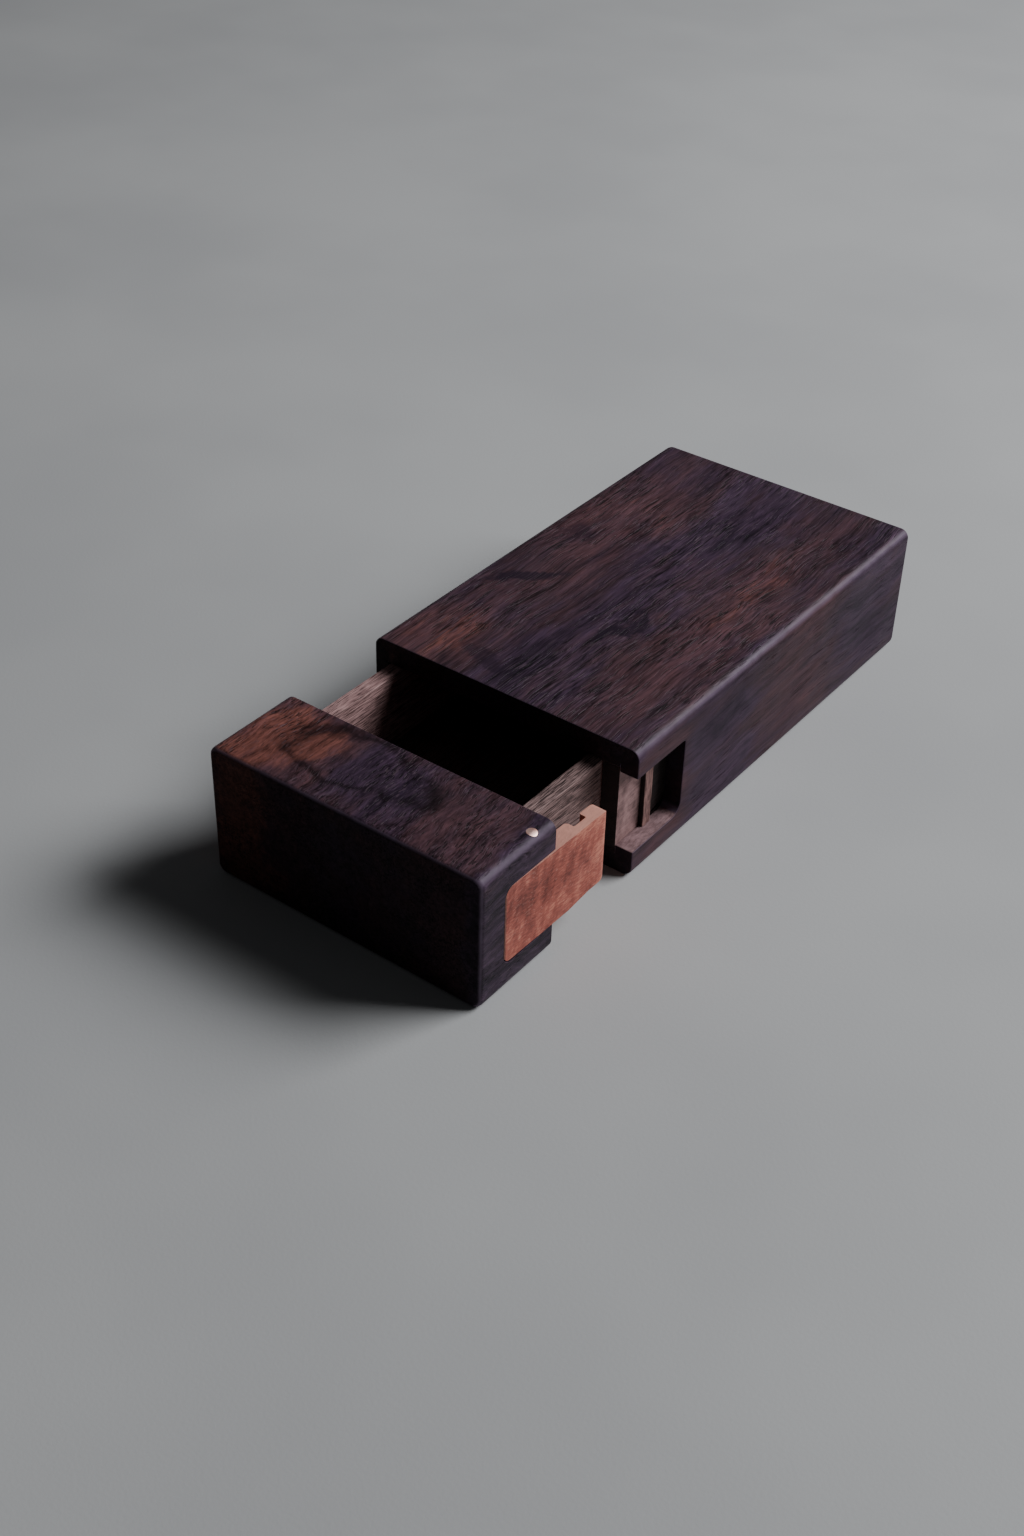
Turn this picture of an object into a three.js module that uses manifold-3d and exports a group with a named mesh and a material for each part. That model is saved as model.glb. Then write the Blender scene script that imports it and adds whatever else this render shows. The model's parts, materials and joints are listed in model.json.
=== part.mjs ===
// A pocket puzzle box in wood. A mitred sleeve holds a drawer that hangs on a solid
// front block. A latch lever turns on a brass pin in the side of that block. Its hook
// catches a post in a recess of the sleeve until the lever's nose is pressed in.
// Millimetres. +X is right, +Y runs to the closed end of the sleeve, +Z is up.
// The origin is the centre of the sleeve's underside. The drawer is modelled part open.

import * as THREE from 'three';
import { mergeVertices } from 'three/addons/utils/BufferGeometryUtils.js';
import Module from 'manifold-3d';

const wasm = await Module();
wasm.setup();

// Whole box
const bodyWidth = 60;
const bodyHeight = 28;
const sleeveLength = 100;
const blockDepth = 20.5;
const openGap = 24.5;
const longEdgeRadius = 2;
const outerEndRadius = 1;
const matingEndRadius = 0.25;

// Fits between wooden pieces
const glueLine = 0.05;
const slideClearance = 0.3;

// Sleeve boards
const boardThickness = 4.8;
const leftWallThickness = 3;
const skinThickness = 3.8;
const linerThickness = 3.7;
const backThickness = 4;

// Drawer
const drawerLength = 95.5;
const drawerWall = 3.2;
const drawerFloor = 2.5;
const rabbetWidth = 1.6;
const tenonLength = 4;
const tenonShoulder = 3;

// Drawer stop: a pin in the sleeve's floor runs in a groove under the drawer
const stopPinRadius = 1;
const stopPinSetback = 8;
const stopPinFootZ = 0.2;
const stopPinChamfer = 0.3;
const stopGrooveDepth = 1.3;
const stopGrooveHalfWidth = 1.4;
const stopGrooveEndRadius = 1.3;
const travelToStop = 45.8;

// Latch pin, measured from the block's side face and rear face
const pinRadius = 1;
const pinInset = 1.8;
const pinSetback = 4.7;
const pinFootZ = 2.5;
const pivotClearance = 0.1;

// Latch lever. Lengths run along it from the pin's axis: the nose forwards, the tail back
const leverThickness = 3.4;
const leverNose = 8.8;
const leverTail = 20;
const leverBottomZ = 5.85;
const leverTopZ = 22;
const leverTailBottomZ = 6.65;
const leverTaperStart = 9;
const leverTaperEnd = 15;
const notchStart = 11.75;
const notchEnd = 15.2;
const notchFloorThickness = 1.6;
const hookThickness = 3.1;
const leverFaceEdgeRadius = 0.4;
const leverBackEdgeRadius = 0.8;
const leverTailEdgeRadius = 1.7;
const hookTipRadius = 1.3;
const notchCornerRadius = 0.3;
const leverTopRadius = 2;
const leverTailTopRadius = 2;
const leverBottomRadius = 1.5;
const leverTailBottomRadius = 2.5;
const restSwingDegrees = 1.4;

// Pocket for the lever in the front block
const pocketBottomZ = 5.6;
const pocketTopZ = 22.3;
const pocketDepth = 3.7;
const pocketPressDepth = 4.7;
const pocketStepAhead = 1.5;
const pocketNoseGap = 0.55;
const pocketCornerRadius = 2.2;

// Recess for the lever's tail in the sleeve's right wall, and its catch post
const recessLength = 15.5;
const recessBottomZ = 5.7;
const recessTopZ = 22.2;
const recessLowCornerRadius = 2.5;
const recessHighCornerRadius = 0.5;
const postSetback = 7.3;
const postWidth = 2.6;
const postStandProud = 0.95;
const postLetIn = 2;
const postEdgeRadius = 0.3;

// Latch spring, in a blind hole behind the lever's nose
const springAhead = 6;
const springHoleRadius = 1.6;
const springHoleDepth = 4;
const springCoilRadius = 1.2;
const springWireRadius = 0.15;
const springTurns = 6;
const springStepsPerTurn = 14;

// Smoothness of round shapes
const arcSegments = 4;
const endArcSteps = 3;
const pinSides = 32;
const overcut = 1;

// Places worked out from the sizes above
const halfWidth = bodyWidth / 2;
const mouthY = -sleeveLength / 2;
const rearY = sleeveLength / 2;
const backFaceY = rearY - backThickness;
const floorZ = boardThickness;
const ceilingZ = bodyHeight - boardThickness;
const leftWallX = -halfWidth + leftWallThickness;
const linerFaceX = halfWidth - skinThickness;
const linerInnerX = linerFaceX - linerThickness;
const blockRearY = mouthY - openGap;
const blockFrontY = blockRearY - blockDepth;
const travelToClosed = openGap - slideClearance;
const drawerLeftX = leftWallX + slideClearance;
const drawerRightX = linerInnerX - slideClearance;
const drawerMiddleX = (drawerLeftX + drawerRightX) / 2;
const drawerBottomZ = floorZ + slideClearance;
const drawerTopZ = ceilingZ - slideClearance;
const drawerRearY = blockRearY + drawerLength;
const pinX = halfWidth - pinInset;
const pinY = blockRearY - pinSetback;
const pocketNoseY = pinY - leverNose - pocketNoseGap;
const stopPinY = mouthY + stopPinSetback;
const leverFaceX = pinInset - leverThickness;
const springY = pinY - springAhead;
const springHoleX = halfWidth - pocketPressDepth - springHoleDepth;

const wood = (color, roughness) => new THREE.MeshStandardMaterial({ color, roughness, metalness: 0 });
const metal = (color, roughness) => new THREE.MeshStandardMaterial({ color, roughness, metalness: 1 });
const darkRosewood = wood(0x3a2622, 0.5);
const rawWalnut = wood(0x8a6a58, 0.75);
const redPear = wood(0xa85a3c, 0.6);
const brass = metal(0xd8a878, 0.25);
const springSteel = metal(0xb8bcc0, 0.35);

// A closed three.js geometry as a solid that can be joined and cut
function toSolid(geometry) {
  geometry.deleteAttribute('normal');
  geometry.deleteAttribute('uv');
  const merged = mergeVertices(geometry, 1e-4);
  return new wasm.Manifold(new wasm.Mesh({
    numProp: 3,
    vertProperties: new Float32Array(merged.attributes.position.array),
    triVerts: new Uint32Array(merged.index.array),
  }));
}

function toMesh(name, solid, material) {
  const { vertProperties, triVerts } = solid.getMesh();
  const geometry = new THREE.BufferGeometry();
  geometry.setAttribute('position', new THREE.BufferAttribute(vertProperties, 3));
  geometry.setIndex(new THREE.BufferAttribute(triVerts, 1));
  geometry.computeVertexNormals();
  const mesh = new THREE.Mesh(geometry, material);
  mesh.name = name;
  return mesh;
}

// A box between two opposite corners
function block(low, high) {
  const size = new THREE.Vector3(...high).sub(new THREE.Vector3(...low));
  const geometry = new THREE.BoxGeometry(size.x, size.y, size.z);
  geometry.translate(low[0] + size.x / 2, low[1] + size.y / 2, low[2] + size.z / 2);
  return toSolid(geometry);
}

// An outline whose corners are [x, y, radius]; each corner with a radius becomes an arc
function roundedShape(corners) {
  const shape = new THREE.Shape();
  corners.forEach(([x, y, radius = 0], i) => {
    const corner = new THREE.Vector2(x, y);
    const before = new THREE.Vector2(...corners.at(i - 1)).sub(corner).normalize();
    const after = new THREE.Vector2(...corners[(i + 1) % corners.length]).sub(corner).normalize();
    const halfAngle = Math.acos(before.dot(after)) / 2;
    const reach = radius / Math.tan(halfAngle);
    const enter = corner.clone().addScaledVector(before, reach);
    const leave = corner.clone().addScaledVector(after, reach);
    if (i === 0) shape.moveTo(enter.x, enter.y);
    else shape.lineTo(enter.x, enter.y);
    if (radius === 0) return;
    const bisector = before.clone().add(after).normalize();
    const centre = corner.clone().addScaledVector(bisector, radius / Math.sin(halfAngle));
    const startAngle = Math.atan2(enter.y - centre.y, enter.x - centre.x);
    const endAngle = Math.atan2(leave.y - centre.y, leave.x - centre.x);
    shape.absarc(centre.x, centre.y, radius, startAngle, endAngle, before.cross(after) > 0);
  });
  shape.closePath();
  return shape;
}

function extrude(shape, depth) {
  return new THREE.ExtrudeGeometry(shape, { depth, bevelEnabled: false, curveSegments: arcSegments });
}

const axisX = new THREE.Vector3(1, 0, 0);
const axisY = new THREE.Vector3(0, 1, 0);
const axisZ = new THREE.Vector3(0, 0, 1);

// Outlines drawn in (y, z), (x, z) or (x, y), pushed along the axis that is left
function alongX(shape, lowX, highX) {
  const geometry = extrude(shape, highX - lowX);
  geometry.applyMatrix4(new THREE.Matrix4().makeBasis(axisY, axisZ, axisX));
  return toSolid(geometry.translate(lowX, 0, 0));
}

function alongY(shape, lowY, highY) {
  const geometry = extrude(shape, highY - lowY);
  geometry.applyMatrix4(new THREE.Matrix4().makeBasis(axisX, axisZ, axisY.clone().negate()));
  return toSolid(geometry.translate(0, highY, 0));
}

function alongZ(shape, lowZ, highZ) {
  return toSolid(extrude(shape, highZ - lowZ).translate(0, 0, lowZ));
}

function rod(x, y, lowZ, highZ, radius) {
  const geometry = new THREE.CylinderGeometry(radius, radius, highZ - lowZ, pinSides);
  geometry.rotateX(Math.PI / 2);
  return toSolid(geometry.translate(x, y, (lowZ + highZ) / 2));
}

// Stations of a rounded end face: how far each ring lies in from the end and from the outline
function endRings(endY, inwards, radius) {
  return Array.from({ length: endArcSteps + 1 }, (_, k) => {
    const angle = (k / endArcSteps) * (Math.PI / 2);
    return { y: endY + inwards * radius * (1 - Math.cos(angle)), inset: radius * (1 - Math.sin(angle)) };
  });
}

// The outer form of the closed box between two stations, with its own edge radius at each end
function outerForm(lowY, lowRadius, highY, highRadius) {
  const rings = [...endRings(highY, -1, highRadius), ...endRings(lowY, 1, lowRadius).reverse()];
  const halfHeight = bodyHeight / 2;
  const outline = roundedShape([
    [-halfWidth, -halfHeight, longEdgeRadius],
    [halfWidth, -halfHeight, longEdgeRadius],
    [halfWidth, halfHeight, longEdgeRadius],
    [-halfWidth, halfHeight, longEdgeRadius],
  ]);
  const steps = rings.length - 1;
  const geometry = new THREE.ExtrudeGeometry(outline, {
    depth: steps, steps, bevelEnabled: false, curveSegments: arcSegments,
  });
  const points = geometry.attributes.position;
  const point = new THREE.Vector3();
  for (let i = 0; i < points.count; i++) {
    point.fromBufferAttribute(points, i);
    const { y, inset } = rings[Math.round(point.z)];
    const arcX = Math.sign(point.x) * (halfWidth - longEdgeRadius);
    const arcZ = Math.sign(point.y) * (halfHeight - longEdgeRadius);
    const shrink = 1 - inset / longEdgeRadius;
    points.setXYZ(i, arcX + (point.x - arcX) * shrink, y, halfHeight + arcZ + (point.y - arcZ) * shrink);
  }
  return toSolid(geometry);
}

const sleeveForm = outerForm(mouthY, matingEndRadius, rearY, outerEndRadius);
const blockForm = outerForm(blockFrontY, outerEndRadius, blockRearY, matingEndRadius);

// Lower board of the sleeve's cross-section, with rebated mitres at both ends
function floorBoard() {
  const outline = roundedShape([
    [-halfWidth, 0],
    [halfWidth, 0],
    [linerFaceX, skinThickness],
    [linerFaceX, boardThickness],
    [leftWallX, boardThickness],
    [leftWallX, leftWallThickness],
  ]);
  return sleeveForm.intersect(alongY(outline, mouthY, rearY));
}

function sleeveBottom() {
  const pinHole = rod(drawerMiddleX, stopPinY, -overcut, floorZ + overcut, stopPinRadius + glueLine);
  return floorBoard().subtract(pinHole);
}

// The upper board is the lower one mirrored in height, without the stop pin's hole
function sleeveTop() {
  return floorBoard().mirror([0, 0, 1]).translate([0, 0, bodyHeight]);
}

// A side wall between the mitres; side is -1 for the left wall and 1 for the right
function sideWall(side, thickness) {
  const outerX = side * halfWidth;
  const innerX = side * (halfWidth - thickness);
  const mitreGap = glueLine * Math.SQRT2;
  const corners = [
    [outerX, mitreGap],
    [innerX, thickness + mitreGap],
    [innerX, bodyHeight - thickness - mitreGap],
    [outerX, bodyHeight - mitreGap],
  ];
  const outline = roundedShape(side < 0 ? corners : corners.reverse());
  return sleeveForm.intersect(alongY(outline, mouthY, rearY));
}

// The recess is cut right through the outer layer of the right wall and is open at the mouth
function sleeveRightSkin() {
  const recess = roundedShape([
    [mouthY - overcut, recessBottomZ],
    [mouthY + recessLength, recessBottomZ, recessLowCornerRadius],
    [mouthY + recessLength, recessTopZ, recessHighCornerRadius],
    [mouthY - overcut, recessTopZ],
  ]);
  return sideWall(1, skinThickness).subtract(alongX(recess, linerInnerX, halfWidth + overcut));
}

const postLowY = mouthY + postSetback;
const postHighY = postLowY + postWidth;

function sleeveRightLiner() {
  const board = block(
    [linerInnerX, mouthY, floorZ + glueLine],
    [linerFaceX - glueLine, backFaceY - glueLine, ceilingZ - glueLine],
  );
  const groove = block(
    [linerFaceX - postLetIn - glueLine, postLowY - glueLine, recessBottomZ],
    [halfWidth, postHighY + glueLine, recessTopZ],
  );
  return board.subtract(groove);
}

function catchPost() {
  const proudX = linerFaceX + postStandProud;
  const outline = roundedShape([
    [linerFaceX - postLetIn, postLowY],
    [proudX, postLowY, postEdgeRadius],
    [proudX, postHighY, postEdgeRadius],
    [linerFaceX - postLetIn, postHighY],
  ]);
  return alongZ(outline, recessBottomZ + glueLine, recessTopZ - glueLine);
}

function sleeveBack() {
  return block(
    [leftWallX + glueLine, backFaceY, floorZ + glueLine],
    [linerFaceX - glueLine, rearY, ceilingZ - glueLine],
  );
}

function stopPin() {
  const topZ = drawerBottomZ + stopGrooveDepth - slideClearance;
  const profile = [
    [0, stopPinFootZ],
    [stopPinRadius, stopPinFootZ],
    [stopPinRadius, topZ - stopPinChamfer],
    [stopPinRadius - stopPinChamfer, topZ],
    [0, topZ],
  ].map(([r, z]) => new THREE.Vector2(r, z));
  const geometry = new THREE.LatheGeometry(profile, pinSides).rotateX(Math.PI / 2);
  return toSolid(geometry.translate(drawerMiddleX, stopPinY, 0));
}

// Outline of the lever's pocket seen from the side, from its nose end back past a station
function pocketOutline(highY) {
  return roundedShape([
    [pocketNoseY, pocketBottomZ, pocketCornerRadius],
    [highY, pocketBottomZ],
    [highY, pocketTopZ],
    [pocketNoseY, pocketTopZ, pocketCornerRadius],
  ]);
}

// The pocket is deeper ahead of the pin, which leaves the nose room to be pressed in
function leverPocket() {
  const stopFaceX = halfWidth - pocketDepth;
  const pressFaceX = halfWidth - pocketPressDepth;
  const whole = alongX(pocketOutline(blockRearY + overcut), stopFaceX, halfWidth + overcut);
  const ahead = alongX(pocketOutline(pinY - pocketStepAhead), pressFaceX, halfWidth);
  return whole.add(ahead);
}

// A tenon on the front of a drawer side, or with play its mortise in the block
function tenon(lowX, play) {
  return block(
    [lowX - play, blockRearY - tenonLength - play, drawerBottomZ + tenonShoulder - play],
    [lowX + drawerWall + play, blockRearY + overcut, drawerTopZ - tenonShoulder + play],
  );
}

const sideLowXs = [drawerLeftX, drawerRightX - drawerWall];

function frontBlock() {
  const springHole = rod(0, 0, 0, springHoleDepth + overcut, springHoleRadius)
    .rotate([0, 90, 0])
    .translate([springHoleX, springY, (leverBottomZ + leverTopZ) / 2]);
  const pinHole = rod(pinX, pinY, pinFootZ - glueLine, bodyHeight + overcut, pinRadius + glueLine);
  return [leverPocket(), springHole, pinHole, ...sideLowXs.map((x) => tenon(x, glueLine))]
    .reduce((solid, cut) => solid.subtract(cut), blockForm);
}

// The rabbet faces inwards; inner is 1 where the inside lies towards +X, else -1
function drawerSide(lowX, inner) {
  const highX = lowX + drawerWall;
  const board = block(
    [lowX, blockRearY + glueLine, drawerBottomZ],
    [highX, drawerRearY, drawerTopZ],
  );
  const rabbetLowX = inner > 0 ? highX - rabbetWidth : lowX - overcut;
  const rabbet = block(
    [rabbetLowX, blockRearY - overcut, drawerBottomZ - overcut],
    [rabbetLowX + rabbetWidth + overcut, drawerRearY - drawerWall, drawerBottomZ + drawerFloor],
  );
  return board.subtract(rabbet).add(tenon(lowX, 0));
}

function drawerBack() {
  return block(
    [drawerLeftX + drawerWall + glueLine, drawerRearY - drawerWall, drawerBottomZ],
    [drawerRightX - drawerWall - glueLine, drawerRearY, drawerTopZ],
  );
}

// The floor panel carries the stop groove, which is as long as the drawer's whole travel
function drawerBottom() {
  const overlap = rabbetWidth - glueLine;
  const topZ = drawerBottomZ + drawerFloor - glueLine;
  const panel = block(
    [drawerLeftX + drawerWall - overlap, blockRearY + glueLine, drawerBottomZ],
    [drawerRightX - drawerWall + overlap, drawerRearY - drawerWall - glueLine, topZ],
  );
  const lowX = drawerMiddleX - stopGrooveHalfWidth;
  const highX = drawerMiddleX + stopGrooveHalfWidth;
  const endPlay = slideClearance + stopPinRadius;
  const lowY = stopPinY - travelToClosed - endPlay;
  const highY = stopPinY + travelToStop + endPlay;
  const outline = roundedShape([
    [lowX, lowY, stopGrooveEndRadius],
    [highX, lowY, stopGrooveEndRadius],
    [highX, highY, stopGrooveEndRadius],
    [lowX, highY, stopGrooveEndRadius],
  ]);
  return panel.subtract(alongZ(outline, drawerBottomZ - overcut, drawerBottomZ + stopGrooveDepth));
}

// The lever seen from above, about the pin's axis: nose towards -y, hook at the tail
function leverPlan() {
  const notchX = pinInset - notchFloorThickness;
  const hookX = pinInset - hookThickness;
  return roundedShape([
    [pinInset, -leverNose, leverFaceEdgeRadius],
    [pinInset, leverTail, leverTailEdgeRadius],
    [hookX, leverTail, hookTipRadius],
    [hookX, notchEnd, notchCornerRadius],
    [notchX, notchEnd, notchCornerRadius],
    [notchX, notchStart, notchCornerRadius],
    [leverFaceX, notchStart, leverBackEdgeRadius],
    [leverFaceX, -leverNose, leverFaceEdgeRadius],
  ]);
}

// The lever seen from the side: round ends, and a tail narrow enough for the recess
function leverSide() {
  return roundedShape([
    [-leverNose, leverBottomZ, leverBottomRadius],
    [leverTaperStart, leverBottomZ],
    [leverTaperEnd, leverTailBottomZ],
    [leverTail, leverTailBottomZ, leverTailBottomRadius],
    [leverTail, leverTopZ, leverTailTopRadius],
    [-leverNose, leverTopZ, leverTopRadius],
  ]);
}

function latchLever() {
  const bore = rod(0, 0, 0, bodyHeight, pinRadius + pivotClearance);
  const lever = alongZ(leverPlan(), leverBottomZ, leverTopZ)
    .intersect(alongX(leverSide(), leverFaceX - overcut, pinInset + overcut))
    .subtract(bore);
  return lever.rotate([0, 0, -restSwingDegrees]).translate([pinX, pinY, 0]);
}

// The pin's head is dressed off level with the rounded edge of the block
function latchPin() {
  return rod(pinX, pinY, pinFootZ, bodyHeight + overcut, pinRadius).intersect(blockForm);
}

class CoilPath extends THREE.Curve {
  constructor(length) {
    super();
    this.length = length;
  }

  getPoint(t, target = new THREE.Vector3()) {
    const angle = 2 * Math.PI * springTurns * t;
    target.set(0, Math.cos(angle), Math.sin(angle)).multiplyScalar(springCoilRadius);
    return target.setX(this.length * t);
  }
}

function latchSpring() {
  const swing = THREE.MathUtils.degToRad(restSwingDegrees);
  const leverX = pinX + leverFaceX * Math.cos(swing) - springAhead * Math.sin(swing);
  const lowX = springHoleX + springWireRadius + glueLine;
  const highX = leverX - springWireRadius - 2 * glueLine;
  const section = new THREE.Shape().absarc(0, 0, springWireRadius, 0, 2 * Math.PI, false);
  const geometry = new THREE.ExtrudeGeometry(section, {
    steps: springTurns * springStepsPerTurn,
    curveSegments: arcSegments,
    extrudePath: new CoilPath(highX - lowX),
  });
  return toSolid(geometry.translate(lowX, springY, (leverBottomZ + leverTopZ) / 2));
}

const sleeve = new THREE.Group();
sleeve.add(
  toMesh('sleeve_top', sleeveTop(), darkRosewood),
  toMesh('sleeve_bottom', sleeveBottom(), darkRosewood),
  toMesh('sleeve_left_wall', sideWall(-1, leftWallThickness), darkRosewood),
  toMesh('sleeve_right_wall', sleeveRightSkin(), darkRosewood),
  toMesh('sleeve_right_liner', sleeveRightLiner(), rawWalnut),
  toMesh('sleeve_back', sleeveBack(), darkRosewood),
  toMesh('catch_post', catchPost(), rawWalnut),
  toMesh('drawer_stop_pin', stopPin(), brass),
);

const drawer = new THREE.Group();
drawer.add(
  toMesh('front_block', frontBlock(), darkRosewood),
  toMesh('drawer_left_side', drawerSide(sideLowXs[0], 1), rawWalnut),
  toMesh('drawer_right_side', drawerSide(sideLowXs[1], -1), rawWalnut),
  toMesh('drawer_back', drawerBack(), rawWalnut),
  toMesh('drawer_bottom', drawerBottom(), rawWalnut),
  toMesh('latch_pin', latchPin(), brass),
  toMesh('latch_spring', latchSpring(), springSteel),
);

const latch = new THREE.Group();
latch.add(toMesh('latch_lever', latchLever(), redPear));

const puzzleBox = new THREE.Group();
puzzleBox.add(sleeve, drawer, latch);

export default puzzleBox;
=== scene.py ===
# A pocket puzzle box in wood, part open on a pale floor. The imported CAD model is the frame.
# Each CAD piece is shown by a finer copy with eased edges and a procedural material.
# The scene's lengths are metres, in the frame's axes: +X right, +Y to the sleeve's closed end,
# +Z up. The numbers of shapes and patterns below are millimetres, turned to metres by MM.

import json
import math
from collections import namedtuple

import bmesh
import bpy
from mathutils import Matrix, Vector


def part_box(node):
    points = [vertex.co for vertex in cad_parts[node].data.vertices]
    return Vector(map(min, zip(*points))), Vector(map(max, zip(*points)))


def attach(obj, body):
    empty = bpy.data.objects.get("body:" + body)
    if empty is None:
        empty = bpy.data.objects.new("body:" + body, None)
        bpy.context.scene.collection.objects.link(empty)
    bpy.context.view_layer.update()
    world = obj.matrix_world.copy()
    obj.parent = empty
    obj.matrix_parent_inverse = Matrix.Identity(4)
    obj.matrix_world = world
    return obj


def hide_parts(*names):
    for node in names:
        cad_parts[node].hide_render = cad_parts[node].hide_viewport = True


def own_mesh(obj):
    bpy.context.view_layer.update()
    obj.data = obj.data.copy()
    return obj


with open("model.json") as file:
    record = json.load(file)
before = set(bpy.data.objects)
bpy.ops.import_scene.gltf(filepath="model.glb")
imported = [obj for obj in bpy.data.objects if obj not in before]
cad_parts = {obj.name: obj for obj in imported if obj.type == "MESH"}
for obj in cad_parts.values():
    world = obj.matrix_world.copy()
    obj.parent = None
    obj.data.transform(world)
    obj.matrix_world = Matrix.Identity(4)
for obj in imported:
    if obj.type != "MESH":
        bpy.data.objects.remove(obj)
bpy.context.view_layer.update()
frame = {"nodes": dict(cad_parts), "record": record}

MM = 0.001

# The camera: where it stands, which way it looks, and its lens on a 36 mm film
CAMERA_PLACE = Vector((175.91, -289.03, 232.10)) * MM
CAMERA_AZIMUTH = math.radians(35.94)
CAMERA_ELEVATION = math.radians(36.69)
CAMERA_ROLL = math.radians(1.66)
LENS_MM = 46.67
FILM_MM = 36

# Light and floor, in metres
WINDOW_PLACE = (0.60, 0.62, 0.76)
WINDOW_TARGET = (0, -0.02, 0.01)
WINDOW_SIZE = (0.65, 0.50)
WINDOW_WATTS = 15
WINDOW_COLOUR = (0.95, 0.97, 1.0)
SKY_COLOUR = (0.80, 0.83, 0.88)
SKY_STRENGTH = 0.035
FLOOR_RADIUS = 6
FLOOR_DROP = 0.05 * MM
FLOOR_GREYS = (0.50, 0.50, 0.50), (0.56, 0.56, 0.555)

# Edges of the finer copies
WELD = 0.002 * MM
FLAT_ANGLE = math.radians(1)
SHARP_ANGLE = math.radians(40)
SMOOTH_ANGLE = math.radians(15)
EDGE_STEPS = 3
LONG_EDGE_RADIUS = 2
ON_SURFACE = 0.03
MITRE_REACH = 0.12
MITRE_SLOPE_SLACK = 0.01
HALF_GLUE_LINE = 0.03

# Places worked out from the frame
sleeve_low, sleeve_high = (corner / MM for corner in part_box("sleeve_right_wall"))
block_low, block_high = (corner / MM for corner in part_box("front_block"))
HALF_WIDTH = sleeve_high.x
HEIGHT = block_high.z
MOUTH_Y = sleeve_low.y
REAR_Y = sleeve_high.y
MIDDLE_Y = (MOUTH_Y + REAR_Y) / 2
BLOCK_FRONT_Y = block_low.y
LEVER_REAR_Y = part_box("latch_lever")[1].y / MM
LEVER_TOP_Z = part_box("latch_lever")[1].z / MM
POST_REAR_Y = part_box("catch_post")[1].y / MM

# The bare bottom of the latch recess: its rear end, its soft borders, and the levels between
# which it comes in from below and goes out above
RECESS_LENGTH = 15.6
RECESS_END_Y = MOUTH_Y + RECESS_LENGTH
LEDGE_REAR_FADE = 0.4
LEDGE_SIDE_FADE = 0.3
LEDGE_FROM_Z = (5.4, 5.65)
LEDGE_TO_Z = (6.2, 5.9)

# Rosewood's colours
PURPLE_BLACK = (0.022, 0.013, 0.024)
PURPLE = (0.057, 0.033, 0.056)
BROWN = (0.061, 0.032, 0.043)
RED_BROWN = (0.090, 0.041, 0.047)
ORANGE_BROWN = (0.182, 0.067, 0.054)
PORE_BLACK = (0.007, 0.004, 0.005)
# Pale rims beside the pores: painted glints of the window, a painted highlight
PAINTED_PORE_GLINT = (0.150, 0.100, 0.125)
# Lavender on the eased edges: partly rubbed wear, partly a painted highlight along the rounded edges
RUBBED_AND_PAINTED_HIGHLIGHT = (0.230, 0.165, 0.240)
ROSEWOOD_STOPS = [
    (0.12, PURPLE_BLACK), (0.33, PURPLE), (0.52, BROWN), (0.74, RED_BROWN), (0.95, ORANGE_BROWN),
]
# How light its end grain is beside the long faces, at the front and at the rear; the front ends, which face
# away from the window, are made darker still as painted shade
FRONT_END_GRAIN_AND_PAINTED_SHADE = 0.38
REAR_END_LIGHT = 0.5
# How strongly its marks darken and lighten it, on a piece whose pits are 1
BAND_DEPTH = 1.5
STREAK_DEPTH = 0.9
STREAK_DEPTH_OF_PITS = 1.5
STRAND_DEPTH = 2.8
DARKEST_SHADE = 0.25
PORE_STRENGTH = 0.6
PAINTED_GLINT_STRENGTH = 0.42
PATINA_AND_HIGHLIGHT_STRENGTH = 0.5
ROSEWOOD_ROUGHNESS = (0.42, 0.54)

# The other woods' colours and the brass's and steel's, each from the darkest
RAW_LEDGE_STOPS = [(0.3, (0.14, 0.078, 0.082)), (0.5, (0.25, 0.155, 0.16)), (0.7, (0.36, 0.225, 0.235))]
WALNUT_STOPS = [
    (0.20, (0.028, 0.016, 0.015)), (0.38, (0.120, 0.072, 0.068)),
    (0.58, (0.270, 0.172, 0.162)), (0.85, (0.430, 0.285, 0.265)),
]
WALNUT_WORN = (0.36, 0.26, 0.23)
# Walnut's end grain, painted nearly black: partly its darker end grain, mostly painted shade on the faces
# along Y
WALNUT_END_GRAIN_AND_PAINTED_SHADE = 0.07
PEAR_STOPS = [
    (0.12, (0.150, 0.034, 0.025)), (0.36, (0.285, 0.068, 0.050)),
    (0.62, (0.440, 0.118, 0.085)), (0.90, (0.700, 0.255, 0.175)),
]
# The pale pink painted on the lever's top faces and eased edges: painted light
PEAR_PAINTED_LIGHT = (0.80, 0.42, 0.33)
PEAR_FLECK = (0.72, 0.36, 0.28)
BRASS_BRIGHT, BRASS_TARNISHED = (1.0, 0.68, 0.60), (0.90, 0.50, 0.41)
STEEL_BRIGHT, STEEL_DULL = (0.62, 0.63, 0.65), (0.40, 0.40, 0.42)

# The dark cloud on the lever: its centre and half sizes along Y and Z, and its turn
LEVER_CLOUD_CENTRE = (LEVER_REAR_Y - 18.5, 16)
LEVER_CLOUD_SIZE = (9.5, 3.6)
LEVER_CLOUD_TURN = math.radians(12)

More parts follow.
